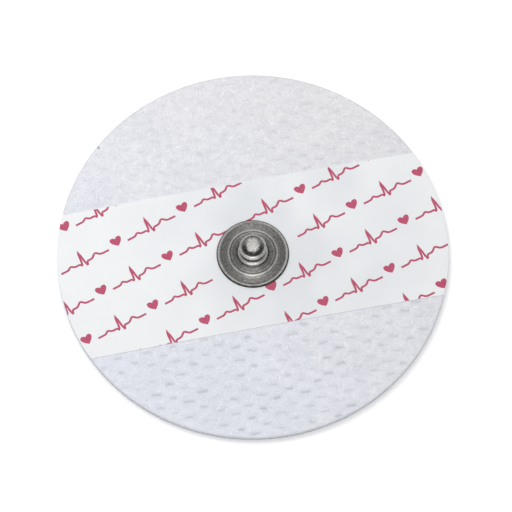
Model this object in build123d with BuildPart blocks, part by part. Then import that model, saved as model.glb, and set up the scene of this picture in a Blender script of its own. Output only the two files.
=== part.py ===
from build123d import *
import os
from math import atan2, tan

# Snap electrode for heart monitoring, lying on the liner that covers its adhesive until use.
# A round pad of non-woven tape carries a film label across its middle. The stud on top and the
# sensor eyelet below clamp both at the centre, and a disc of gel covers the eyelet's flange.
# Millimetres. +Z runs up through the stud, and the origin is on the table under the stud.

# Driving dimensions

# Pad of non-woven tape, adhesive on its underside
pad_diameter = 55.0
tape_thickness = 0.45

# Film label, right across the pad and cut flush with its edge
label_width = 22.0
label_thickness = 0.10
label_turn = 11.0  # degrees, anticlockwise from +X

# Gel on the skin side
gel_diameter = 16.0
gel_cover = 0.45  # gel between the eyelet's flange and the liner

# Release liner, a clear film with a formed cup for the gel
liner_thickness = 0.20
cup_gap = 1.0  # from the gel to the foot of the cup's wall
cup_draft = 0.6  # how much the cup widens from its floor to its mouth, on the radius

# Sensor eyelet, moulded, with its post upset inside the stud
eyelet_flange_diameter = 10.0
eyelet_flange_thickness = 0.45
pocket_clearance = 0.05  # between the eyelet's flange and the gel around it
post_clearance = 0.05  # between the post and the inside of the stud
hole_clearance = 0.20  # between the post and the holes in the tape and the label

# Snap stud, one shell drawn from sheet
stud_wall = 0.25

# Rings of the stud's flange, as widths on the radius from the collar outwards
shoulder_width = 0.60
terrace_width = 0.75
riser_width = 0.15
dish_width = 0.95
lip_slope_width = 0.27
rim_width = 0.28

# Heights of the underside of those rings above the label
shoulder_lift = 0.40
terrace_lift = 0.33
ridge_lift = 0.36
dish_lift = 0.06
lip_lift = 0.12
rim_drop = 0.14  # from the top of the lip down to the corner of the rim
rim_bend = 0.30  # radius of that corner

# Post of the stud, from the collar up to the domed nub
collar_diameter = 4.2
collar_height = 0.45
collar_crown = 0.10  # rise of the collar's top towards the neck
collar_chamfer = 0.15
neck_diameter = 3.1
neck_height = 0.90
bead_diameter = 3.8
bead_height = 0.85
bead_taper = 0.20  # height of the cone under the bead
bead_chamfer = 0.12
nub_diameter = 3.0
nub_side = 0.15
nub_crown = 0.55  # radius of the round edge at the top of the nub

# Radii worked out from the sizes above
pad_radius = pad_diameter / 2
gel_radius = gel_diameter / 2
cup_floor_radius = gel_radius + cup_gap
cup_mouth_radius = cup_floor_radius + cup_draft
eyelet_flange_radius = eyelet_flange_diameter / 2
pocket_radius = eyelet_flange_radius + pocket_clearance

collar_radius = collar_diameter / 2
shoulder_radius = collar_radius + shoulder_width
ridge_radius = shoulder_radius + terrace_width
riser_radius = ridge_radius + riser_width
dish_radius = riser_radius + dish_width
lip_radius = dish_radius + lip_slope_width
flange_radius = lip_radius + rim_width

neck_radius = neck_diameter / 2
bead_radius = bead_diameter / 2
nub_radius = nub_diameter / 2
collar_bore = collar_radius - stud_wall
neck_bore = neck_radius - stud_wall
chamber_radius = bead_radius - stud_wall
nub_bore = nub_radius - stud_wall
post_radius = neck_bore - post_clearance
head_radius = chamber_radius - post_clearance
hole_radius = post_radius + hole_clearance

# Levels, stacked up from the table
cup_floor = liner_thickness
eyelet_bottom = cup_floor + gel_cover
tape_bottom = eyelet_bottom + eyelet_flange_thickness
liner_rim_bottom = tape_bottom - liner_thickness
tape_top = tape_bottom + tape_thickness
stud_seat = tape_top + label_thickness
lip_top = stud_seat + lip_lift + stud_wall
rim_top = lip_top - rim_drop
dish_top = stud_seat + dish_lift + stud_wall
ridge_top = stud_seat + ridge_lift + stud_wall
terrace_top = stud_seat + terrace_lift + stud_wall
collar_foot = stud_seat + shoulder_lift + stud_wall
collar_top = collar_foot + collar_height
neck_foot = collar_top + collar_crown
bead_foot = neck_foot + neck_height
bead_land_foot = bead_foot + bead_taper
bead_ledge = bead_foot + bead_height
nub_top = bead_ledge + nub_side + nub_crown
chamber_floor = bead_foot + stud_wall
chamber_roof = bead_ledge - stud_wall
head_top = chamber_roof - post_clearance

# On a slope the sheet's two faces meet their neighbours at corners that are this far apart on the radius
riser_shift = stud_wall * tan(atan2(ridge_lift - dish_lift, riser_width) / 2)
shoulder_shift = stud_wall * tan(atan2(shoulder_lift - terrace_lift, shoulder_width) / 2)

# Release liner: formed film with a flat rim under the tape and a shallow cup that the part lies on
with BuildPart() as release_liner:
    with BuildSketch(Plane.XZ):
        with BuildLine():
            Polyline(
                (0, 0),
                (cup_floor_radius + liner_thickness, 0),
                (cup_mouth_radius + liner_thickness, liner_rim_bottom),
                (pad_radius, liner_rim_bottom),
                (pad_radius, tape_bottom),
                (cup_mouth_radius, tape_bottom),
                (cup_floor_radius, cup_floor),
                (0, cup_floor),
                close=True,
            )
        make_face()
    revolve(axis=Axis.Z)

# Gel disc: lies in the cup and has a pocket around the eyelet's flange
with BuildPart() as gel_disc:
    with BuildSketch(Plane.XZ):
        with BuildLine():
            Polyline(
                (0, cup_floor),
                (gel_radius, cup_floor),
                (gel_radius, tape_bottom),
                (pocket_radius, tape_bottom),
                (pocket_radius, eyelet_bottom),
                (0, eyelet_bottom),
                close=True,
            )
        make_face()
    revolve(axis=Axis.Z)

# Sensor eyelet: flange under the tape, post up through it, and the post's end upset into a head
with BuildPart() as sensor_eyelet:
    with BuildSketch(Plane.XZ):
        with BuildLine():
            Polyline(
                (0, eyelet_bottom),
                (eyelet_flange_radius, eyelet_bottom),
                (eyelet_flange_radius, tape_bottom),
                (post_radius, tape_bottom),
                (post_radius, chamber_floor),
                (head_radius, chamber_floor),
                (head_radius, head_top),
                (0, head_top),
                close=True,
            )
        make_face()
    revolve(axis=Axis.Z)

# Backing disc: the die-cut tape with the hole for the post
with BuildPart() as backing_disc:
    with BuildSketch(Plane.XY.offset(tape_bottom)):
        Circle(pad_radius)
        Circle(hole_radius, mode=Mode.SUBTRACT)
    extrude(amount=tape_thickness)

# Label strip: a band across the disc, cut with it so that the ends follow its edge
with BuildPart() as label_strip:
    with BuildSketch(Plane.XY.offset(tape_top)):
        Circle(pad_radius)
        Rectangle(pad_diameter, label_width, rotation=label_turn, mode=Mode.INTERSECT)
        Circle(hole_radius, mode=Mode.SUBTRACT)
    extrude(amount=label_thickness)

# Snap stud: drawn shell whose rim stands on the label and whose bead takes the lead's clip
with BuildPart() as snap_stud:
    with BuildSketch(Plane.XZ):
        with BuildLine():
            rim = FilletPolyline(
                (flange_radius, stud_seat),
                (flange_radius, rim_top),
                (lip_radius, lip_top),
                radius=rim_bend,
            )
            Polyline(
                (lip_radius, lip_top),
                (dish_radius, dish_top),
                (riser_radius, dish_top),
                (ridge_radius, ridge_top),
                (shoulder_radius, terrace_top),
                (collar_radius, collar_foot),
                (collar_radius, collar_top - collar_chamfer),
                (collar_radius - collar_chamfer, collar_top),
                (neck_radius, neck_foot),
                (neck_radius, bead_foot),
                (bead_radius, bead_land_foot),
                (bead_radius, bead_ledge - bead_chamfer),
                (bead_radius - bead_chamfer, bead_ledge),
                (nub_radius, bead_ledge),
            )
            nub = FilletPolyline(
                (nub_radius, bead_ledge),
                (nub_radius, nub_top),
                (0, nub_top),
                radius=nub_crown,
            )
            inside = Polyline(
                (0, nub_top - stud_wall),
                (nub_radius - nub_crown, nub_top - stud_wall),
                (nub_bore, nub_top - nub_crown),
                (nub_bore, chamber_roof),
                (chamber_radius, chamber_roof),
                (chamber_radius, chamber_floor),
                (neck_bore, chamber_floor),
                (neck_bore, neck_foot - stud_wall),
                (collar_bore, collar_top - stud_wall),
                (collar_bore, stud_seat + shoulder_lift),
                (shoulder_radius - shoulder_shift, stud_seat + terrace_lift),
                (ridge_radius - riser_shift, stud_seat + ridge_lift),
                (riser_radius - riser_shift, stud_seat + dish_lift),
                (dish_radius, stud_seat + dish_lift),
                (lip_radius, stud_seat + lip_lift),
                (flange_radius - stud_wall, stud_seat),
            )
            Line(nub @ 1, inside @ 0)
            Line(inside @ 1, rim @ 0)
        make_face()
    revolve(axis=Axis.Z)

# Labels and files, one for each piece
pieces = {
    "release_liner": release_liner,
    "gel_disc": gel_disc,
    "sensor_eyelet": sensor_eyelet,
    "backing_disc": backing_disc,
    "label_strip": label_strip,
    "snap_stud": snap_stud,
}
os.makedirs("parts", exist_ok=True)
for name, piece in pieces.items():
    piece.part.label = name
    export_step(piece.part, f"parts/{name}.step")
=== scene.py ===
import math

import bmesh
import bpy
from mathutils import Matrix, Vector, noise


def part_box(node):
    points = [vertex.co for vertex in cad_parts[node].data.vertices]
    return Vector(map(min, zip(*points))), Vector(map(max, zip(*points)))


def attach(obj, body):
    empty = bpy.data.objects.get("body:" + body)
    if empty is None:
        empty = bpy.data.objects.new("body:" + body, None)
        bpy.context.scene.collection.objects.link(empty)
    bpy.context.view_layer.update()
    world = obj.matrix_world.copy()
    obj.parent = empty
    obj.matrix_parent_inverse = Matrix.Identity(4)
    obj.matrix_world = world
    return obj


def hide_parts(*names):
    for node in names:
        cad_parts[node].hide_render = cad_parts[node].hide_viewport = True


# Snap electrode for heart monitoring: the looks of its six pieces, the print on its label, and the studio.
# Metres. +Z runs up through the stud, and the origin is on the table under the stud.

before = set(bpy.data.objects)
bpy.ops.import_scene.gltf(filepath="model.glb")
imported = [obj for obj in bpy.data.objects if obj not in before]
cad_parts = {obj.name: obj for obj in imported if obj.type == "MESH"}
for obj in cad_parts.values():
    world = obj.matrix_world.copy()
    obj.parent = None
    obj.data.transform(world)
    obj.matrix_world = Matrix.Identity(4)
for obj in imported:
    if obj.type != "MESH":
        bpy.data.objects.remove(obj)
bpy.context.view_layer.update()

MM = 0.001
TAU = 2 * math.pi
MERGE = 1e-4 * MM  # points closer than this become one
SECTORS = 24  # equal sectors in which round pieces are spun

# Fixed seed, so that every run is the same: without one, the vector noise is seeded from the clock
NOISE_SEED = 1
noise.seed_set(NOISE_SEED)


def radius_of(node):
    """Outer radius of a round piece of the frame."""
    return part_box(node)[1].x


def bottom_of(node):
    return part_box(node)[0].z


def top_of(node):
    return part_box(node)[1].z


# Sizes that the frame gives
PAD_RADIUS = radius_of("backing_disc")
TAPE_BOTTOM = bottom_of("backing_disc")
TAPE_TOP = top_of("backing_disc")
LABEL_TOP = top_of("label_strip")
GEL_RADIUS = radius_of("gel_disc")
CUP_FLOOR = bottom_of("gel_disc")
EYELET_RADIUS = radius_of("sensor_eyelet")
EYELET_BOTTOM = bottom_of("sensor_eyelet")
EYELET_TOP = top_of("sensor_eyelet")
FLANGE_RADIUS = radius_of("snap_stud")
STUD_TOP = top_of("snap_stud")

# Tape and label, with the hole for the eyelet's post
LABEL_WIDTH = 22 * MM
LABEL_TURN = math.radians(11)
HOLE_RADIUS = 1.5 * MM
TAPE_ROUNDING = 0.16 * MM
FILM_ROUNDING = 0.03 * MM

# How the springy pad lies: held flat at its middle, drooping and slightly twisted towards its rim
HELD_RADIUS = 9 * MM
FREE_RADIUS = 19 * MM
DROOP = 0.35 * MM
TWIST = 0.15 * MM

# Pressed dashes that bond the fabric, in two staggered sets
DASH_TURN = math.radians(13)
DASH_LEAN = math.radians(-8)  # of each dash from its row
DASH_PITCH = 4.05 * MM
DASH_ROW = 2.19 * MM
DASH_START = 2.5 * MM
DASH_LENGTH = 1.1 * MM
DASH_WIDTH = 0.3 * MM
DASH_FLOOR = 0.15 * DASH_WIDTH  # away from a dash's middle line, where its edge starts to rise
DASH_EDGE = 0.85 * DASH_WIDTH  # and where that edge ends
DASH_SKIRT = 0.9 * MM  # reach of the shallow hollow round a dash
SKIRT_SHARE = 0.25  # of the depth
DASH_DEPTH = 0.12 * MM
DASH_WANDER = 0.30 * MM  # by which rows and dashes are drawn out of line

# How dashes differ: strays as shares of the pitch and of the row, and shares of the full length and firmness
STRAY_ALONG = 0.10
STRAY_ACROSS = 0.14
SHORTEST = 0.8
LENGTH_SPREAD = 0.4
USUAL_FIRMNESS = 0.65
FIRMNESS_SPREAD = 0.35  # either way

# Firmness of the dashes from 0 to 1: in the middle of the pad, and what its front and its right rim add
FIRM_IN_MIDDLE = 0.69
FIRMER_IN_FRONT = 0.33
FIRMER_AT_RIGHT = 0.15

# Fabric between the dashes, its pressed rim with painted shade along it, and a speck of dirt on it
FABRIC_LUMP = 0.05 * MM
FABRIC_LUMP_SIZE = 2.4 * MM
UNDER_LABEL = 0.1 * MM  # by which the relief reaches under the label
RELIEF_FADE = 0.5 * MM  # over which it grows to its full height
FINE_UNDER_LABEL = 0.5 * MM  # by which the fine mesh of the relief reaches under the label
RIM_PRESSED = 0.4 * MM
RIM_SHADE = 0.4
SPECK_PLACE = Vector((-21.75, 16.3)) * MM
SPECK_SIZE = 0.15 * MM

# Print on the label: rows of pulse traces with small hearts between them
ROW_TURN = math.radians(28.6)
ROW_PITCH = 5.5 * MM
TRACE_PITCH = 10.6 * MM
TRACE_LENGTH = 7.6 * MM
TRACE_HEIGHT = 2.0 * MM
TRACE_BELOW = 0.35  # share of the height by which a trace lies below the middle of its row
TRACE_POINTS = 72
STROKE = 0.30 * MM
INK_THICKNESS = 0.008 * MM
HEART_SIZE = 1.7 * MM
HEART_POINTS = 32
LABEL_MARGIN = 0.02 * MM
RIM_MARGIN = 0.03 * MM
RIM_CUT_STEP = 3  # degrees between the straight cuts along the pad's rim
PRINT_UNDER_STUD = 0.3 * MM

# Skin side: liner, gel and eyelet
CUP_GAP = 1.0 * MM  # from the gel to the foot of the cup's wall
CUP_DRAFT = 0.6 * MM
CUP_ROUNDING = 0.12 * MM
POCKET_CLEARANCE = 0.05 * MM
POST_CLEARANCE = 0.05 * MM
GEL_FOOT_ROUNDING = 0.25 * MM
GEL_TOP_ROUNDING = 0.20 * MM
EYELET_ROUNDING = 0.18 * MM
HEAD_ROUNDING = 0.10 * MM

# Between the clear film or the gel and what it touches, so that light crosses one face at a time
HAIR_GAP = 0.02 * MM

# View of the photograph
CAMERA_ELEVATION = math.radians(68.0)
CAMERA_DISTANCE = 1.6
SENSOR = 36.0
IMAGE_SIZE = 512
PIXELS_PER_MM = 7.12
PAD_CENTRE_PIXEL = (252.8, 254.4)
VIEW_DEPTH = 10

# Studio: a white table, a pale room, and a soft lamp over the pad, a little behind it and to its left
TABLE_REACH = 3
TABLE_GLOW = 0.42  # shown to the camera and in mirrored light, so that the lit table is white
ROOM_LIGHT = 0.5
LAMP_PLACE = (-0.040, 0.044, 0.18)
LAMP_SIZE = 0.14
LAMP_POWER = 0.191

# The room as metal mirrors it: pale walls under a strip of light that is brightest in front
MIRRORED_WALLS = 1.3
STRIP_IN_FRONT = 3.2
STRIP_BEHIND = 0.6
BESIDE_STRIP = 0.06


def smooth_step(value):
    """0 below 0, 1 above 1, and an even S between them."""
    value = min(max(value, 0), 1)
    return value * value * (3 - 2 * value)


def lie(x, y):
    """How far the pad stands above its flat state at a point."""
    reach = math.hypot(x, y)
    free = smooth_step((reach - HELD_RADIUS) / (FREE_RADIUS - HELD_RADIUS))
    return -free * (DROOP * reach**2 + TWIST * x * y) / PAD_RADIUS**2


def turned(x, y, angle):
    """A point's place along and across a line through the origin at an angle."""
    along = x * math.cos(angle) + y * math.sin(angle)
    across = y * math.cos(angle) - x * math.sin(angle)
    return along, across


# Mesh helpers


def wire(bm, corners, closed=False):
    """Outline in the XZ plane through corners of (radius, height, rounding, cuts in the run that follows)."""
    points = []
    for number, (radius, height, rounding, cuts) in enumerate(corners):
        next_radius, next_height = corners[(number + 1) % len(corners)][:2]
        points.append((bm.verts.new((radius, 0, height)), rounding))
        for cut in range(1, cuts + 1):
            share = cut / (cuts + 1)
            between = (radius + (next_radius - radius) * share, 0, height + (next_height - height) * share)
            points.append((bm.verts.new(between), 0))
    line = [vert for vert, rounding in points]
    for pair in zip(line, line[1:] + line[:1] if closed else line[1:]):
        bm.edges.new(pair)
    for vert, rounding in points:
        if rounding:
            bmesh.ops.bevel(
                bm, geom=[vert], offset=rounding, affect="VERTICES", segments=4, profile=0.5, material=-1
            )


def turn(bm, steps):
    """Spin the outline in a mesh round the stud's axis: one sector, then copies of it all the way round."""
    sector = TAU / SECTORS
    middle = {"cent": (0, 0, 0), "axis": (0, 0, 1)}
    bmesh.ops.spin(bm, geom=bm.verts[:] + bm.edges[:], angle=sector, steps=steps // SECTORS, **middle)
    bmesh.ops.spin(
        bm, geom=everything(bm), angle=TAU - sector, steps=SECTORS - 1, use_duplicate=True, **middle
    )
    bmesh.ops.remove_doubles(bm, verts=bm.verts, dist=MERGE)
    bmesh.ops.recalc_face_normals(bm, faces=bm.faces)


def everything(bm):
    return bm.verts[:] + bm.edges[:] + bm.faces[:]


def cut_off(bm, outward, distance):
    """Cut away what lies past a distance in a direction; returns the edges of the cut."""
    made = bmesh.ops.bisect_plane(
        bm, geom=everything(bm), dist=MERGE, plane_co=outward * distance, plane_no=outward, clear_outer=True
    )
    return [item for item in made["geom_cut"] if isinstance(item, bmesh.types.BMEdge)]


def bend_with_pad(bm):
    """Give a flat piece the droop and twist of the pad that it belongs to."""
    for vert in bm.verts:
        vert.co.z += lie(vert.co.x, vert.co.y)


def piece(name, bm, material, node=None, sharp=40):
    """Turn a mesh into a piece of the object, smooth but for edges over the sharp angle in degrees."""
    mesh = bpy.data.meshes.new(name)
    bm.to_mesh(mesh)
    bm.free()
    mesh.shade_smooth()
    mesh.set_sharp_from_angle(angle=math.radians(sharp))
    mesh.materials.append(material)
    made = bpy.data.objects.new(name, mesh)
    bpy.context.collection.objects.link(made)
    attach(made, "root")
    if node:
        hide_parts(node)
    return made


# Material helpers


def colour(red, green, blue):
    """Linear colour from screen values of 0 to 255."""
    linear = []
    for level in (red, green, blue):
        share = level / 255
        linear.append(share / 12.92 if share <= 0.04045 else ((share + 0.055) / 1.055) ** 2.4)
    return (*linear, 1)


def new_finish(name, **sockets):
    """A material with values set on its shader; returns the material and the shader."""
    material = bpy.data.materials.new(name)
    material.use_nodes = True
    shader = material.node_tree.nodes["Principled BSDF"]
    for socket, value in sockets.items():
        shader.inputs[socket.replace("_", " ")].default_value = value
    return material, shader


def plug(material, socket, value):
    """Link an output to a socket, or set the socket's own value."""
    if isinstance(value, bpy.types.NodeSocket):
        material.node_tree.links.new(value, socket)
    else:
        socket.default_value = value


def add(material, kind, inputs, **settings):
    """A node with its settings, and with its inputs linked or set, by socket name or number."""
    node = material.node_tree.nodes.new(kind)
    for name, value in settings.items():
        setattr(node, name, value)
    for name, value in inputs.items():
        plug(material, node.inputs[name], value)
    return node


def object_place(material):
    return add(material, "ShaderNodeTexCoord", {}).outputs["Object"]


def speckle(material, place, size, detail=2.0, roughness=0.5):
    """Noise whose lumps are about the given size."""
    inputs = {"Vector": place, "Scale": 1 / size, "Detail": detail, "Roughness": roughness}
    return add(material, "ShaderNodeTexNoise", inputs).outputs["Fac"]


def streaks(material, place, angle, length, width):
    """Noise drawn out into threads of a length and a width, at an angle in degrees."""
    drawn = add(
        material, "ShaderNodeMapping",
        {"Vector": place, "Rotation": (0, 0, math.radians(angle)), "Scale": (length, width, width)},
        vector_type="TEXTURE",
    ).outputs["Vector"]
    return add(material, "ShaderNodeTexNoise", {"Vector": drawn, "Scale": 1, "Detail": 1.5}).outputs["Fac"]


def matted_threads(material, place, angles, length, width):
    """Noise of threads that lie across each other at several angles in degrees."""
    threads = streaks(material, place, angles[0], length, width)
    for angle in angles[1:]:
        threads = calculate(material, "MAXIMUM", threads, streaks(material, place, angle, length, width))
    return threads


def calculate(material, operation, first, second):
    return add(material, "ShaderNodeMath", {0: first, 1: second}, operation=operation).outputs[0]


def calculate_vector(material, operation, first, second):
    return add(material, "ShaderNodeVectorMath", {0: first, 1: second}, operation=operation).outputs


def distance_from(material, place, x=0, y=0):
    """Distance of a point from an upright line."""
    flat = calculate_vector(material, "MULTIPLY", place, (1, 1, 0))["Vector"]
    return calculate_vector(material, "DISTANCE", flat, (x, y, 0))["Value"]


def rescale(material, value, low, high, new_low, new_high):
    """Map a range of values to another range, clamped."""
    inputs = {"Value": value, "From Min": low, "From Max": high, "To Min": new_low, "To Max": new_high}
    return add(material, "ShaderNodeMapRange", inputs).outputs["Result"]


def blend(material, factor, first, second):
    """Mix two colours."""
    node = material.node_tree.nodes.new("ShaderNodeMix")
    node.data_type = "RGBA"
    for number, value in {0: factor, 6: first, 7: second}.items():
        plug(material, node.inputs[number], value)
    return node.outputs[2]


def attribute(material, name):
    return add(material, "ShaderNodeAttribute", {}, attribute_name=name).outputs["Fac"]


def raise_surface(material, shader, height, distance, strength=1.0):
    """Fine relief from a height pattern; distance is its full height."""
    bump = add(material, "ShaderNodeBump", {"Height": height, "Distance": distance, "Strength": strength})
    plug(material, shader.inputs["Normal"], bump.outputs["Normal"])


# Finishes

# Fabric: threads, the pores between them, clouds, thin patches, and painted bluish light that makes the white
# cooler and lighter towards the front left
FIBRE_ANGLES = (7, 48, 93, 139)
FIBRE_LENGTH = 1.5 * MM
FIBRE_WIDTH = 0.17 * MM
PORE_ANGLES = (22, 75, 118, 166)
PORE_LENGTH = 0.7 * MM
PORE_WIDTH = 0.2 * MM
FABRIC_CLOUD = 0.9 * MM
THIN_PATCH = 8 * MM
FABRIC_BUMP = 0.08 * MM
BLUE_LIGHT_WAY = (-0.6, -0.8, 0)
BLUE_LIGHT_REACH = 24 * MM

# Film: size of its clouds, and where the painted shade in patches round the stud lies thickest
FILM_CLOUD = 3 * MM
FILM_BUMP = 0.02 * MM
SHADE_MIDDLE = (5 * MM, 3 * MM)
SHADE_FULL = 8 * MM
SHADE_END = 26 * MM
SHADE_PATCH = 8 * MM
SHADE_SHIFT = (5 * MM, 0, 0)  # of the pattern of patches

# Plate of the stud: its tool rings, grain and sparkle, and flecks that break up its painted highlight
TOOL_RING = 0.22 * MM
PLATE_GRAIN = 0.34 * MM
PLATE_SPARKLE = 0.15 * MM
PLATE_FLECK = 0.26 * MM
PLATE_BUMP = 0.03 * MM

# Colours of the plate by its brightness from 0 to 1
PLATE_STOPS = ((0.0, (38, 37, 36)), (0.3, (100, 99, 97)), (0.6, (160, 159, 156)), (1.0, (236, 235, 232)))


def tape_finish():
    """Non-woven fabric: matted white fibres with pores between them, fused in the pressed dashes."""
    material, shader = new_finish("nonwoven_tape", Roughness=0.9, Specular_IOR_Level=0.2)
    place = object_place(material)
    fibres = matted_threads(material, place, FIBRE_ANGLES, FIBRE_LENGTH, FIBRE_WIDTH)
    pores = matted_threads(material, place, PORE_ANGLES, PORE_LENGTH, PORE_WIDTH)
    cloud = speckle(material, place, FABRIC_CLOUD, detail=4, roughness=0.6)
    thin = speckle(material, place, THIN_PATCH, detail=1)
    # Painted bluish light: the white turns cooler and lighter towards the front left
    frontward = calculate_vector(material, "DOT_PRODUCT", place, BLUE_LIGHT_WAY)["Value"]
    painted_blue_light = rescale(material, frontward, -BLUE_LIGHT_REACH, BLUE_LIGHT_REACH, 0, 1)
    matted = blend(material, painted_blue_light, colour(228, 227, 230), colour(231, 234, 244))
    raised = blend(material, painted_blue_light, colour(240, 239, 241), colour(243, 245, 255))
    fabric = blend(material, rescale(material, cloud, 0.3, 0.7, 0, 1), matted, raised)
    fabric = blend(material, rescale(material, thin, 0.35, 0.65, 0.2, 0), fabric, colour(214, 217, 226))
    fabric = blend(material, rescale(material, pores, 0.64, 0.74, 0, 0.55), fabric, colour(207, 210, 219))
    fabric = blend(material, rescale(material, fibres, 0.64, 0.74, 0, 0.9), fabric, colour(253, 253, 255))
    # Greyer in the pressed dashes, and painted shade along the rim
    pressed_and_rim_shade = calculate(material, "MULTIPLY", attribute(material, "pressed"), 0.9)
    fabric = blend(material, pressed_and_rim_shade, fabric, colour(200, 203, 211))
    fabric = blend(material, attribute(material, "speck"), fabric, colour(96, 94, 92))
    plug(material, shader.inputs["Base Color"], fabric)
    relief = calculate(material, "ADD", fibres, calculate(material, "MULTIPLY", cloud, 1.5))
    relief = calculate(material, "SUBTRACT", relief, calculate(material, "MULTIPLY", pores, 0.7))
    raise_surface(material, shader, relief, FABRIC_BUMP, 0.6)
    return material


def label_finish():
    """White satin film, with painted shade in uneven patches round the stud and to its right."""
    material, shader = new_finish("label_film", Roughness=0.5, Specular_IOR_Level=0.35)
    place = object_place(material)
    cloud = speckle(material, place, FILM_CLOUD)
    film = blend(material, cloud, colour(244, 246, 248), colour(249, 251, 253))
    # Painted shade in patches round the stud and to its right
    painted_shade = rescale(material, distance_from(material, place, *SHADE_MIDDLE), SHADE_FULL, SHADE_END, 0.46, 0)
    shifted = calculate_vector(material, "ADD", place, SHADE_SHIFT)["Vector"]
    shade_patches = rescale(material, speckle(material, shifted, SHADE_PATCH, detail=1), 0.36, 0.64, 0.4, 1.4)
    film = blend(material, calculate(material, "MULTIPLY", painted_shade, shade_patches), film, colour(224, 227, 231))
    plug(material, shader.inputs["Base Color"], film)
    raise_surface(material, shader, cloud, FILM_BUMP, 0.4)
    return material


def ink_finish():
    """Crimson ink, a little uneven where it takes on the film."""
    material, shader = new_finish("label_ink", Roughness=0.5)
    take = speckle(material, object_place(material), 0.5 * MM)
    ink = blend(material, take, colour(182, 66, 98), colour(200, 98, 126))
    plug(material, shader.inputs["Base Color"], ink)
    return material


def stud_finish(name, ringed):
    """Dull nickel plate with tool rings: partly tarnished, with painted shade in its grooves, painted
    highlights on its rings and a painted highlight on its top.
    """
    material, shader = new_finish(name, Metallic=1.0, Anisotropic=ringed, Anisotropic_Rotation=0.25)
    around = add(material, "ShaderNodeTangent", {}, direction_type="RADIAL", axis="Z").outputs["Tangent"]
    plug(material, shader.inputs["Tangent"], around)
    place = object_place(material)
    reach = calculate(material, "DIVIDE", distance_from(material, place), TOOL_RING)
    tool_rings = add(
        material, "ShaderNodeTexNoise", {"W": reach, "Scale": 1, "Detail": 3}, noise_dimensions="1D"
    ).outputs["Fac"]
    grain = speckle(material, place, PLATE_GRAIN, detail=4, roughness=0.65)
    mottle = rescale(material, calculate(material, "ADD", grain, tool_rings), 0.6, 1.4, -0.26, 0.26)
    sparkle = rescale(material, speckle(material, place, PLATE_SPARKLE, detail=1), 0.3, 0.7, -0.08, 0.08)
    # Brightness of the plate: tarnish and painted light together, with grain and sparkle
    tarnish_and_light = calculate(material, "ADD", attribute(material, "wear_and_painted_light"), mottle)
    tarnish_and_light = calculate(material, "ADD", tarnish_and_light, sparkle)
    flecks = speckle(material, place, PLATE_FLECK, detail=3, roughness=0.7)
    uneven = rescale(material, flecks, 0.2, 0.8, -0.2, 0.2)
    # Painted highlight on the nub's top, broken up by the flecks
    painted_highlight = calculate(material, "ADD", attribute(material, "painted_highlight"), uneven)
    bright = rescale(material, flecks, 0.3, 0.7, 0.66, 1)
    bright = calculate(material, "MULTIPLY", rescale(material, painted_highlight, 0.05, 0.3, 0, 1), bright)
    ramp = add(material, "ShaderNodeValToRGB", {"Fac": calculate(material, "MAXIMUM", tarnish_and_light, bright)})
    for number, (place_on_ramp, level) in enumerate(PLATE_STOPS):
        if number > 1:
            ramp.color_ramp.elements.new(place_on_ramp)
        stop = ramp.color_ramp.elements[number]
        stop.position = place_on_ramp
        stop.color = colour(*level)
    plug(material, shader.inputs["Base Color"], ramp.outputs["Color"])
    plug(material, shader.inputs["Roughness"], rescale(material, grain, 0.3, 0.7, 0.40, 0.52))
    raise_surface(material, shader, calculate(material, "ADD", tool_rings, grain), PLATE_BUMP, 0.5)
    return material


def cloudy_finish(material, shader, size, detail, dark, light, smooth, rough, bump, strength):
    """Give a shader a soft cloud in its colour, its roughness and its relief."""
    cloud = speckle(material, object_place(material), size, detail)
    plug(material, shader.inputs["Base Color"], blend(material, cloud, colour(*dark), colour(*light)))
    plug(material, shader.inputs["Roughness"], rescale(material, cloud, 0.3, 0.7, smooth, rough))
    raise_surface(material, shader, cloud, bump, strength)


def eyelet_finish():
    """Grey silver coat on moulded plastic."""
    material, shader = new_finish("silver_coated_plastic", Metallic=0.7)
    cloudy_finish(
        material, shader, size=0.15 * MM, detail=3, dark=(176, 174, 168), light=(204, 202, 196),
        smooth=0.4, rough=0.55, bump=0.01 * MM, strength=0.4,
    )
    return material


def gel_finish():
    """Clear, wet, slightly blue gel with a soft cloud in it."""
    material, shader = new_finish(
        "hydrogel", IOR=1.37, Transmission_Weight=0.75, Coat_Weight=0.3, Coat_Roughness=0.08
    )
    cloudy_finish(
        material, shader, size=2.5 * MM, detail=3, dark=(214, 226, 236), light=(234, 241, 246),
        smooth=0.12, rough=0.25, bump=0.05 * MM, strength=0.4,
    )
    return material


def liner_finish():
    """Clear formed film, lightly frosted by its forming."""
    material, shader = new_finish("clear_film", IOR=1.55, Transmission_Weight=0.9)
    cloudy_finish(
        material, shader, size=4 * MM, detail=2, dark=(240, 243, 246), light=(248, 250, 252),
        smooth=0.10, rough=0.22, bump=0.04 * MM, strength=0.3,
    )
    return material


# Pad of non-woven tape


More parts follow.
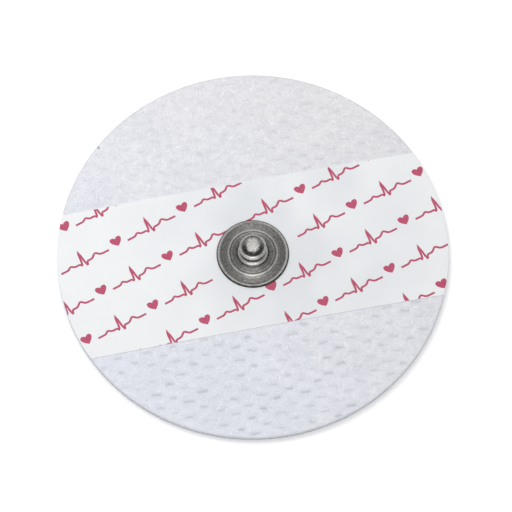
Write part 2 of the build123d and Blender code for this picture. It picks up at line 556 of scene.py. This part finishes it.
def pressed(x, y):
    """How far the fabric is pressed in at a point: 1 on the floor of a firm dash, 0 away from the dashes."""
    stray = noise.noise_vector((x / FABRIC_LUMP_SIZE, y / FABRIC_LUMP_SIZE, 3)) * DASH_WANDER
    stray += noise.noise_vector((4 * x / FABRIC_LUMP_SIZE, 4 * y / FABRIC_LUMP_SIZE, 5)) * DASH_WANDER / 2
    along, across = turned(x + stray.x, y + stray.y, DASH_TURN)
    along -= DASH_START
    hard = FIRM_IN_MIDDLE + (FIRMER_AT_RIGHT * x - FIRMER_IN_FRONT * y) / PAD_RADIUS
    deepest = 0
    for stagger in (0, 0.5):
        column = round(along / DASH_PITCH - stagger)
        row = round(across / DASH_ROW - stagger)
        wander = noise.cell_vector((column + 0.5, row + 0.5, stagger + 0.25))
        middle_along = (column + stagger + STRAY_ALONG * (wander.x - 0.5)) * DASH_PITCH
        middle_across = (row + stagger + STRAY_ACROSS * (wander.y - 0.5)) * DASH_ROW
        half_length = DASH_LENGTH / 2 * (SHORTEST + LENGTH_SPREAD * wander.z)
        ahead, aside = turned(along - middle_along, across - middle_across, DASH_LEAN)
        away = math.hypot(max(abs(ahead) - half_length + DASH_WIDTH / 2, 0), aside)
        firmness = USUAL_FIRMNESS + FIRMNESS_SPREAD * noise.cell((column + 0.5, row + 0.5, stagger + 7.25))
        core = smooth_step((DASH_EDGE - away) / (DASH_EDGE - DASH_FLOOR))
        skirt = smooth_step((DASH_SKIRT - away) / DASH_SKIRT)
        deepest = max(deepest, hard * firmness * ((1 - SKIRT_SHARE) * core + SKIRT_SHARE * skirt))
    return deepest


def across_label(x, y):
    """A point's distance from the middle line of the label."""
    return abs(turned(x, y, LABEL_TURN)[1])


def fabric_relief(x, y):
    """Height of the fabric's face at a point above the flat tape, and how far it is pressed there, with
    painted shade along the rim.
    """
    bare = smooth_step((across_label(x, y) - LABEL_WIDTH / 2 + UNDER_LABEL) / RELIEF_FADE)
    if not bare:
        return 0, 0
    inside = smooth_step((PAD_RADIUS - math.hypot(x, y)) / RIM_PRESSED)
    dash = bare * pressed(x, y)
    lump = noise.fractal((x / FABRIC_LUMP_SIZE, y / FABRIC_LUMP_SIZE, 0), 1.0, 2.0, 3)
    height = bare * inside * (FABRIC_LUMP * lump - DASH_DEPTH * dash)
    # Along the rim, the second value is painted shade
    return height, max(dash, RIM_SHADE * bare * (1 - inside))


def make_tape(material):
    """Tape disc with the relief of its fabric, fine where the label leaves it bare."""
    bm = bmesh.new()
    bare_from = LABEL_WIDTH / 2 - FINE_UNDER_LABEL
    wire(bm, [
        (HOLE_RADIUS, TAPE_BOTTOM, 0, 12),
        (PAD_RADIUS, TAPE_BOTTOM, 0, 2),
        (PAD_RADIUS, TAPE_TOP, TAPE_ROUNDING, 46),
        (bare_from, TAPE_TOP, 0, 8),
        (HOLE_RADIUS, TAPE_TOP, 0, 0),
    ], closed=True)
    turn(bm, 312)
    bare_edges = set()
    for face in bm.faces:
        middle = face.calc_center_median()
        if face.normal.z > 0.9 and across_label(middle.x, middle.y) > bare_from:
            bare_edges.update(face.edges)
    in_order = [edge for edge in bm.edges if edge in bare_edges]
    bmesh.ops.subdivide_edges(bm, edges=in_order, cuts=2, use_grid_fill=True)
    # How far the fabric is pressed, and painted shade along the rim
    depth = bm.verts.layers.float.new("pressed")
    speck = bm.verts.layers.float.new("speck")
    for vert in bm.verts:
        if vert.co.z > TAPE_TOP - 0.01 * MM:
            height, vert[depth] = fabric_relief(vert.co.x, vert.co.y)
            vert.co.z += height
        vert[speck] = smooth_step(1.5 - (vert.co.xy - SPECK_PLACE).length / SPECK_SIZE)
    bend_with_pad(bm)
    tape = piece("fabric_pad", bm, material, "backing_disc", sharp=60)


# Label strip and its print


def trim_to_label(bm, margin=0.0):
    """Cut a mesh along the two long edges of the label; returns the edges of each cut."""
    upward = Vector((-math.sin(LABEL_TURN), math.cos(LABEL_TURN), 0))
    return [cut_off(bm, upward * side, LABEL_WIDTH / 2 - margin) for side in (1, -1)]


def make_label(material):
    """Film strip cut flush with the pad's edge."""
    bm = bmesh.new()
    wire(bm, [
        (HOLE_RADIUS, TAPE_TOP, 0, 30),
        (PAD_RADIUS, TAPE_TOP, 0, 0),
        (PAD_RADIUS, LABEL_TOP, FILM_ROUNDING, 30),
        (HOLE_RADIUS, LABEL_TOP, 0, 0),
    ], closed=True)
    turn(bm, 360)
    for edges in trim_to_label(bm):
        bmesh.ops.edgeloop_fill(bm, edges=edges)
    bmesh.ops.recalc_face_normals(bm, faces=bm.faces)
    bend_with_pad(bm)
    piece("film_label", bm, material, "label_strip", sharp=30)


# Waves of one heart beat: place and width as shares of the trace's length, and height
BEAT_WAVES = (
    (0.22, 0.045, 0.16),
    (0.42, 0.016, -0.16),
    (0.47, 0.020, 1.0),
    (0.52, 0.018, -0.30),
    (0.74, 0.060, 0.26),
)


def pulse(share):
    """Height of one heart beat's trace, up to about 1, at a share of its length."""
    return sum(height * math.exp(-(((share - middle) / width) ** 2)) for middle, width, height in BEAT_WAVES)


def trace_mesh():
    """One pulse trace as a flat stroke, lying along X about the origin."""
    line = bpy.data.curves.new("trace", "CURVE")
    line.dimensions = "3D"
    line.bevel_depth = STROKE / 2
    line.bevel_resolution = 1
    line.use_fill_caps = True
    spline = line.splines.new("POLY")
    spline.points.add(TRACE_POINTS)
    for number, point in enumerate(spline.points):
        share = number / TRACE_POINTS
        point.co = ((share - 0.5) * TRACE_LENGTH, (pulse(share) - TRACE_BELOW) * TRACE_HEIGHT, 0, 1)
    drawn = bpy.data.objects.new("trace", line)
    mesh = bpy.data.meshes.new_from_object(drawn)
    bpy.data.objects.remove(drawn)
    bpy.data.curves.remove(line)
    mesh.transform(Matrix.Diagonal((1, 1, INK_THICKNESS / STROKE, 1)))
    return mesh


def heart_mesh():
    """One small solid heart about the origin."""
    bm = bmesh.new()
    bmesh.ops.create_circle(bm, cap_ends=True, segments=HEART_POINTS, radius=1)
    for vert in bm.verts:
        angle = math.atan2(vert.co.x, vert.co.y)
        vert.co.x = math.sin(angle) ** 3
        vert.co.y = 0.8 * math.cos(angle) - 0.3 * math.cos(2 * angle) - 0.15 * math.cos(3 * angle)
    bmesh.ops.scale(bm, vec=(HEART_SIZE / 2, HEART_SIZE / 2, 1), verts=bm.verts)
    bmesh.ops.solidify(bm, geom=bm.faces[:], thickness=INK_THICKNESS)
    bmesh.ops.recalc_face_normals(bm, faces=bm.faces)
    middle = sum(vert.co.z for vert in bm.verts) / len(bm.verts)
    bmesh.ops.translate(bm, vec=(0, 0, -middle), verts=bm.verts)
    mesh = bpy.data.meshes.new("heart")
    bm.to_mesh(mesh)
    bm.free()
    return mesh


def stamp(bm, motif, place):
    """Add a copy of a motif to a mesh at a place."""
    copy = motif.copy()
    copy.transform(place)
    bm.from_mesh(copy)
    bpy.data.meshes.remove(copy)


def make_print(material):
    """Diagonal rows of the two motifs over the label, cut off at its edges and hidden under the stud."""
    bm = bmesh.new()
    trace = trace_mesh()
    heart = heart_mesh()
    rows = math.ceil(PAD_RADIUS / ROW_PITCH)
    columns = math.ceil(PAD_RADIUS / TRACE_PITCH) + 1
    lift = Matrix.Translation((0, 0, LABEL_TOP + INK_THICKNESS / 4))
    slant = Matrix.Rotation(ROW_TURN, 4, "Z")
    for row in range(-rows, rows + 1):
        for column in range(-columns, columns + 1):
            along = (column + 0.5 * (row % 2)) * TRACE_PITCH
            for motif, shift in ((trace, 0), (heart, TRACE_PITCH / 2)):
                in_row = Matrix.Translation((along + shift, row * ROW_PITCH, 0))
                stamp(bm, motif, lift @ slant @ in_row)
    trim_to_label(bm, LABEL_MARGIN)
    for degree in range(0, 360, RIM_CUT_STEP):
        outward = Vector((math.cos(math.radians(degree)), math.sin(math.radians(degree)), 0))
        cut_off(bm, outward, PAD_RADIUS - RIM_MARGIN)
    covered = [vert for vert in bm.verts if vert.co.xy.length < FLANGE_RADIUS - PRINT_UNDER_STUD]
    bmesh.ops.delete(bm, geom=covered, context="VERTS")
    bend_with_pad(bm)
    bpy.data.meshes.remove(trace)
    bpy.data.meshes.remove(heart)
    piece("label_print", bm, material, sharp=60)


# Snap stud

# Rings of the drawn shell: sheet, ring widths inwards from the rim, and levels above the label
STUD_WALL = 0.25 * MM
RIM_WIDTH = 0.28 * MM
LIP_SLOPE = 0.27 * MM
DISH_WIDTH = 0.95 * MM
RISER_WIDTH = 0.15 * MM
TERRACE_WIDTH = 0.75 * MM
SHOULDER_WIDTH = 0.60 * MM
RIM_TOP = LABEL_TOP + 0.23 * MM
LIP_TOP = LABEL_TOP + 0.37 * MM
DISH_TOP = LABEL_TOP + 0.31 * MM
RIDGE_TOP = LABEL_TOP + 0.61 * MM
TERRACE_TOP = LABEL_TOP + 0.58 * MM
COLLAR_FOOT = LABEL_TOP + 0.65 * MM
COLLAR_TOP = COLLAR_FOOT + 0.45 * MM
NECK_FOOT = COLLAR_TOP + 0.10 * MM
BEAD_FOOT = NECK_FOOT + 0.90 * MM
BEAD_LAND = BEAD_FOOT + 0.20 * MM
BEAD_LEDGE = BEAD_FOOT + 0.85 * MM
LIP_RADIUS = FLANGE_RADIUS - RIM_WIDTH
DISH_RADIUS = LIP_RADIUS - LIP_SLOPE
RISER_RADIUS = DISH_RADIUS - DISH_WIDTH
RIDGE_RADIUS = RISER_RADIUS - RISER_WIDTH
SHOULDER_RADIUS = RIDGE_RADIUS - TERRACE_WIDTH
COLLAR_RADIUS = SHOULDER_RADIUS - SHOULDER_WIDTH
NECK_RADIUS = 1.55 * MM
BEAD_RADIUS = 1.90 * MM
NUB_RADIUS = 1.50 * MM
NUB_CROWN = 0.55 * MM  # from the nub's side and top to the ends of the slant inside it
NUB_DOME = 0.08 * MM  # rise of the nub's top from its edge to its middle
CHAMBER_RADIUS = BEAD_RADIUS - STUD_WALL
RISER_SPREAD = 0.12 * MM  # by which the rounded riser's foot is wider
RISER_SHIFT = 0.15 * MM  # of the corners of the sheet's inside, from those of its outside
SHOULDER_SHIFT = 0.08 * MM

# Roundings of the stud's corners
FINE_CORNER = 0.04 * MM
SOFT_CORNER = 0.10 * MM
RIM_ROUNDING = 0.16 * MM
COLLAR_ROUNDING = 0.30 * MM
BEAD_ROUNDING = 0.34 * MM
NUB_ROUNDING = 0.30 * MM

# Brightness of the plate from 0 to 1 at places of (radius, height) along the stud's outside: partly tarnish,
# partly painted shade in its grooves and on its outer wall, and painted highlights on its lip, ridge, collar
# and bead
PLATE_WEAR_AND_LIGHT = (
    (FLANGE_RADIUS, LABEL_TOP, 0.0),
    (FLANGE_RADIUS, RIM_TOP, 0.0),
    (FLANGE_RADIUS - 0.10 * MM, RIM_TOP + 0.05 * MM, 0.20),
    (LIP_RADIUS + 0.12 * MM, LIP_TOP - 0.06 * MM, 0.48),
    (LIP_RADIUS, LIP_TOP, 0.80),
    (LIP_RADIUS - 0.12 * MM, LIP_TOP, 0.50),
    (DISH_RADIUS, DISH_TOP, 0.40),
    (DISH_RADIUS - DISH_WIDTH / 2, DISH_TOP, 0.44),
    (RISER_RADIUS, DISH_TOP, 0.54),
    (RIDGE_RADIUS + 0.05 * MM, RIDGE_TOP, 0.60),
    (RIDGE_RADIUS, RIDGE_TOP, 0.82),
    (RIDGE_RADIUS - 0.10 * MM, RIDGE_TOP, 0.54),
    (RIDGE_RADIUS - TERRACE_WIDTH / 2, TERRACE_TOP, 0.47),
    (SHOULDER_RADIUS, TERRACE_TOP, 0.50),
    (SHOULDER_RADIUS - 0.15 * MM, TERRACE_TOP, 0.44),
    (COLLAR_RADIUS + 0.20 * MM, COLLAR_FOOT, 0.34),
    (COLLAR_RADIUS, COLLAR_FOOT, 0.04),
    (COLLAR_RADIUS, COLLAR_FOOT + 0.12 * MM, 0.56),
    (COLLAR_RADIUS, COLLAR_TOP, 0.76),
    (NECK_RADIUS + 0.20 * MM, NECK_FOOT - 0.03 * MM, 0.74),
    (NECK_RADIUS + 0.10 * MM, NECK_FOOT - 0.02 * MM, 0.12),
    (NECK_RADIUS, NECK_FOOT, 0.0),
    (NECK_RADIUS, NECK_FOOT + 0.30 * MM, 0.22),
    (NECK_RADIUS, BEAD_FOOT, 0.14),
    (BEAD_RADIUS - 0.10 * MM, BEAD_LAND - 0.06 * MM, 0.14),
    (BEAD_RADIUS, BEAD_LAND, 0.66),
    (BEAD_RADIUS, BEAD_LEDGE - 0.12 * MM, 0.76),
    (BEAD_RADIUS - 0.12 * MM, BEAD_LEDGE, 0.74),
    (NUB_RADIUS + 0.06 * MM, BEAD_LEDGE, 0.60),
    (NUB_RADIUS, BEAD_LEDGE, 0.0),
    (0.0, STUD_TOP, 0.0),
)

# Painted highlight: how much brighter the lip is at its two sides than in front and at the back
LIP_SIDE_HIGHLIGHT = 0.4
LIP_HIGHLIGHT_END = 0.1 * MM  # from the outer wall

# Top of the nub: painted shade in front, lighter at the back, and a painted highlight in the middle, over an
# oval that is longer along Y
NUB_FOOT = BEAD_LEDGE + 0.05 * MM
FRONT_OF_NUB = 0.03
BACK_OF_NUB = 0.45
HIGHLIGHT_PLACE = Vector((0, -0.06)) * MM
HIGHLIGHT_WIDTH = 2.3 * MM
HIGHLIGHT_LENGTH = 2.8 * MM


def wear_and_painted_light(radius, height):
    """Brightness of the plate at a point of the stud, its tarnish and painted light together, from the
    nearest stretch between the listed places.
    """
    point = Vector((radius, height))
    best = (1, 0)
    for (first_radius, first_height, first), (last_radius, last_height, last) in zip(PLATE_WEAR_AND_LIGHT, PLATE_WEAR_AND_LIGHT[1:]):
        start = Vector((first_radius, first_height))
        stretch = Vector((last_radius, last_height)) - start
        share = min(max((point - start).dot(stretch) / stretch.length_squared, 0), 1)
        away = (start + stretch * share - point).length
        best = min(best, (away, first + (last - first) * share))
    return best[1]


def draw_stud_section(bm):
    """Section of the shell: its outside from the rim up to the nub, then back down its inside."""
    wire(bm, [
        (FLANGE_RADIUS - STUD_WALL, LABEL_TOP, 0, 0),
        (FLANGE_RADIUS, LABEL_TOP, FINE_CORNER, 0),
        (FLANGE_RADIUS, RIM_TOP, RIM_ROUNDING, 0),
        (LIP_RADIUS, LIP_TOP, SOFT_CORNER, 0),
        (DISH_RADIUS, DISH_TOP, SOFT_CORNER, 6),
        (RISER_RADIUS + RISER_SPREAD, DISH_TOP, SOFT_CORNER, 0),
        (RIDGE_RADIUS, RIDGE_TOP, SOFT_CORNER, 3),
        (SHOULDER_RADIUS, TERRACE_TOP, SOFT_CORNER, 2),
        (COLLAR_RADIUS, COLLAR_FOOT, SOFT_CORNER, 1),
        (COLLAR_RADIUS, COLLAR_TOP, COLLAR_ROUNDING, 0),
        (NECK_RADIUS, NECK_FOOT, SOFT_CORNER, 2),
        (NECK_RADIUS, BEAD_FOOT, SOFT_CORNER, 0),
        (BEAD_RADIUS, BEAD_LAND, SOFT_CORNER, 1),
        (BEAD_RADIUS, BEAD_LEDGE, BEAD_ROUNDING, 0),
        (NUB_RADIUS, BEAD_LEDGE, FINE_CORNER, 1),
        (NUB_RADIUS, STUD_TOP - NUB_DOME, NUB_ROUNDING, 7),
        (0, STUD_TOP, 0, 0),
    ])
    rim_foot = min(bm.verts, key=lambda vert: (vert.co.z, vert.co.x))
    inside = [
        (0, STUD_TOP - STUD_WALL),
        (NUB_RADIUS - NUB_CROWN, STUD_TOP - STUD_WALL),
        (NUB_RADIUS - STUD_WALL, STUD_TOP - NUB_CROWN),
        (NUB_RADIUS - STUD_WALL, BEAD_LEDGE - STUD_WALL),
        (CHAMBER_RADIUS, BEAD_LEDGE - STUD_WALL),
        (CHAMBER_RADIUS, BEAD_FOOT + STUD_WALL),
        (NECK_RADIUS - STUD_WALL, BEAD_FOOT + STUD_WALL),
        (NECK_RADIUS - STUD_WALL, NECK_FOOT - STUD_WALL),
        (COLLAR_RADIUS - STUD_WALL, COLLAR_TOP - STUD_WALL),
        (COLLAR_RADIUS - STUD_WALL, COLLAR_FOOT - STUD_WALL),
        (SHOULDER_RADIUS - SHOULDER_SHIFT, TERRACE_TOP - STUD_WALL),
        (RIDGE_RADIUS - RISER_SHIFT, RIDGE_TOP - STUD_WALL),
        (RISER_RADIUS - RISER_SHIFT, DISH_TOP - STUD_WALL),
        (DISH_RADIUS, DISH_TOP - STUD_WALL),
        (LIP_RADIUS, LIP_TOP - STUD_WALL),
    ]
    line = [bm.verts.new((radius, 0, height)) for radius, height in inside]
    for pair in zip(line, line[1:] + [rim_foot]):
        bm.edges.new(pair)


def make_stud(ringed_plate, highlit_plate):
    """The drawn shell, with the brightness of its plate, tarnish and painted light together, and its painted
    highlight kept at every point.
    """
    bm = bmesh.new()
    draw_stud_section(bm)
    wear_and_light_layer = bm.verts.layers.float.new("wear_and_painted_light")
    painted_highlight = bm.verts.layers.float.new("painted_highlight")
    for vert in bm.verts:
        vert[wear_and_light_layer] = wear_and_painted_light(vert.co.x, vert.co.z)
    turn(bm, 192)
    for vert in bm.verts:
        reach = vert.co.xy.length
        # Painted highlight on the lip's two sides
        if DISH_RADIUS < reach < FLANGE_RADIUS - LIP_HIGHLIGHT_END:
            vert[wear_and_light_layer] += LIP_SIDE_HIGHLIGHT * (abs(vert.co.x) / reach - 0.5)
        # Painted shade on the nub's front and a painted highlight on its top
        if vert.co.z > NUB_FOOT:
            back = smooth_step(0.6 + vert.co.y / NUB_RADIUS)
            vert[wear_and_light_layer] = FRONT_OF_NUB + (BACK_OF_NUB - FRONT_OF_NUB) * back
            away = vert.co.xy - HIGHLIGHT_PLACE
            vert[painted_highlight] = max(1 - math.hypot(away.x / HIGHLIGHT_WIDTH, away.y / HIGHLIGHT_LENGTH) * 2, 0)
    for face in bm.faces:
        face.material_index = int(face.calc_center_median().z > BEAD_LEDGE)
    stud = piece("snap_stud_shell", bm, ringed_plate, "snap_stud", sharp=50)
    stud.data.materials.append(highlit_plate)


# Pieces on the skin side


def make_eyelet(material):
    """Moulded eyelet whose head is upset inside the stud."""
    bm = bmesh.new()
    post = NECK_RADIUS - STUD_WALL - POST_CLEARANCE
    head = CHAMBER_RADIUS - POST_CLEARANCE
    head_foot = BEAD_FOOT + STUD_WALL
    wire(bm, [
        (0, EYELET_BOTTOM, 0, 4),
        (EYELET_RADIUS, EYELET_BOTTOM, EYELET_ROUNDING, 0),
        (EYELET_RADIUS, TAPE_BOTTOM, 0, 3),
        (post, TAPE_BOTTOM, 0, 3),
        (post, head_foot, 0, 0),
        (head, head_foot, 0, 0),
        (head, EYELET_TOP, HEAD_ROUNDING, 2),
        (0, EYELET_TOP, 0, 0),
    ])
    turn(bm, 120)
    piece("eyelet", bm, material, "sensor_eyelet")


def make_gel(material):
    """Gel disc with soft edges and a pocket round the eyelet's flange."""
    bm = bmesh.new()
    pocket = EYELET_RADIUS + POCKET_CLEARANCE
    wire(bm, [
        (0, CUP_FLOOR + HAIR_GAP, 0, 6),
        (GEL_RADIUS, CUP_FLOOR + HAIR_GAP, GEL_FOOT_ROUNDING, 0),
        (GEL_RADIUS, TAPE_BOTTOM - HAIR_GAP, GEL_TOP_ROUNDING, 2),
        (pocket, TAPE_BOTTOM - HAIR_GAP, 0, 0),
        (pocket, EYELET_BOTTOM - HAIR_GAP, 0, 3),
        (0, EYELET_BOTTOM - HAIR_GAP, 0, 0),
    ])
    turn(bm, 120)
    piece("gel", bm, material, "gel_disc")


def make_liner(material):
    """Clear film with a formed cup for the gel, its rim bent with the pad."""
    bm = bmesh.new()
    film = CUP_FLOOR
    cup_foot = GEL_RADIUS + CUP_GAP
    cup_mouth = cup_foot + CUP_DRAFT
    wire(bm, [
        (0, 0, 0, 6),
        (cup_foot + film, 0, 2 * CUP_ROUNDING, 0),
        (cup_mouth + film, TAPE_BOTTOM - film, CUP_ROUNDING, 14),
        (PAD_RADIUS, TAPE_BOTTOM - film, 0, 0),
        (PAD_RADIUS, TAPE_BOTTOM - HAIR_GAP, 0, 14),
        (cup_mouth, TAPE_BOTTOM - HAIR_GAP, 2 * CUP_ROUNDING, 0),
        (cup_foot, CUP_FLOOR, CUP_ROUNDING, 6),
        (0, CUP_FLOOR, 0, 0),
    ])
    turn(bm, 240)
    bend_with_pad(bm)
    piece("liner", bm, material, "release_liner")


# Studio


def make_floor():
    """Plain pale table that keeps the shadow and shows white where it is fully lit."""
    material, shader = new_finish("white_table", Roughness=0.9)
    shader.inputs["Base Color"].default_value = colour(232, 232, 234)
    shader.inputs["Emission Color"].default_value = (1, 1, 1, 1)
    path = add(material, "ShaderNodeLightPath", {})
    seen = calculate(material, "MAXIMUM", path.outputs["Is Camera Ray"], path.outputs["Is Glossy Ray"])
    seen = calculate(material, "MAXIMUM", seen, path.outputs["Is Transmission Ray"])
    plug(material, shader.inputs["Emission Strength"], calculate(material, "MULTIPLY", seen, TABLE_GLOW))
    bm = bmesh.new()
    bmesh.ops.create_grid(bm, x_segments=1, y_segments=1, size=TABLE_REACH)
    mesh = bpy.data.meshes.new("table")
    bm.to_mesh(mesh)
    bm.free()
    mesh.materials.append(material)
    table = bpy.data.objects.new("table", mesh)
    bpy.context.collection.objects.link(table)


def make_world():
    """Even pale room, white where a camera sees it, with a lit strip overhead for the metal to mirror."""
    world = bpy.data.worlds.new("pale_room")
    world.use_nodes = True
    room = world.node_tree.nodes["Background"]
    room.inputs["Color"].default_value = (1, 1, 1, 1)
    path = add(world, "ShaderNodeLightPath", {})
    towards = add(world, "ShaderNodeTexCoord", {}).outputs["Generated"]
    sideways, away, upward = add(world, "ShaderNodeSeparateXYZ", {"Vector": towards}).outputs
    strip = rescale(world, calculate(world, "MULTIPLY", sideways, sideways), 0.01, 0.18, 1, BESIDE_STRIP)
    fall = rescale(world, away, -0.5, 0.5, STRIP_IN_FRONT, STRIP_BEHIND)
    strip = calculate(world, "MULTIPLY", strip, fall)
    walls = rescale(world, upward, 0.38, 0.62, 1, 0)
    overhead = calculate(world, "MULTIPLY", strip, calculate(world, "SUBTRACT", 1, walls))
    mirrored = calculate(world, "ADD", overhead, calculate(world, "MULTIPLY", walls, MIRRORED_WALLS))
    mirrored = calculate(world, "MULTIPLY", path.outputs["Is Glossy Ray"], mirrored)
    seen = calculate(world, "MAXIMUM", path.outputs["Is Camera Ray"], path.outputs["Is Transmission Ray"])
    seen = calculate(world, "MAXIMUM", seen, mirrored)
    lit = calculate(world, "MULTIPLY", path.outputs["Is Diffuse Ray"], ROOM_LIGHT)
    plug(world, room.inputs["Strength"], calculate(world, "MAXIMUM", seen, lit))
    bpy.context.scene.world = world


def make_lamp():
    """Square soft lamp that points at the pad and leaves mirrored light to the room."""
    lamp = bpy.data.lights.new("window", "AREA")
    lamp.shape = "SQUARE"
    lamp.size = LAMP_SIZE
    lamp.energy = LAMP_POWER
    held = bpy.data.objects.new("window", lamp)
    held.location = LAMP_PLACE
    held.rotation_euler = (-Vector(LAMP_PLACE)).to_track_quat("-Z", "Y").to_euler()
    held.visible_glossy = False
    bpy.context.collection.objects.link(held)


def make_camera():
    """Long lens at the photograph's angle, with the pad's middle on its pixel."""
    toward = Vector((0, -math.cos(CAMERA_ELEVATION), math.sin(CAMERA_ELEVATION)))
    up = Vector((0, math.sin(CAMERA_ELEVATION), math.cos(CAMERA_ELEVATION)))
    right_of_middle = (IMAGE_SIZE / 2 - PAD_CENTRE_PIXEL[0]) / PIXELS_PER_MM * MM
    above_middle = (PAD_CENTRE_PIXEL[1] - IMAGE_SIZE / 2) / PIXELS_PER_MM * MM
    aim = Vector((right_of_middle, 0, TAPE_TOP)) + up * above_middle
    camera = bpy.data.cameras.new("camera")
    camera.sensor_width = SENSOR
    camera.lens = SENSOR * CAMERA_DISTANCE / (IMAGE_SIZE / PIXELS_PER_MM * MM)
    camera.clip_end = VIEW_DEPTH
    held = bpy.data.objects.new("camera", camera)
    held.location = aim + toward * CAMERA_DISTANCE
    held.rotation_euler = (-toward).to_track_quat("-Z", "Y").to_euler()
    bpy.context.collection.objects.link(held)
    bpy.context.scene.camera = held


make_liner(liner_finish())
make_gel(gel_finish())
make_eyelet(eyelet_finish())
make_tape(tape_finish())
make_label(label_finish())
make_print(ink_finish())
# The second plate, without rings, carries the nub's painted highlight
make_stud(stud_finish("nickel_plate", 0.8), stud_finish("nickel_plate_highlit", 0.0))

make_floor()
make_world()
make_lamp()
make_camera()
bpy.context.scene.view_settings.view_transform = "Standard"
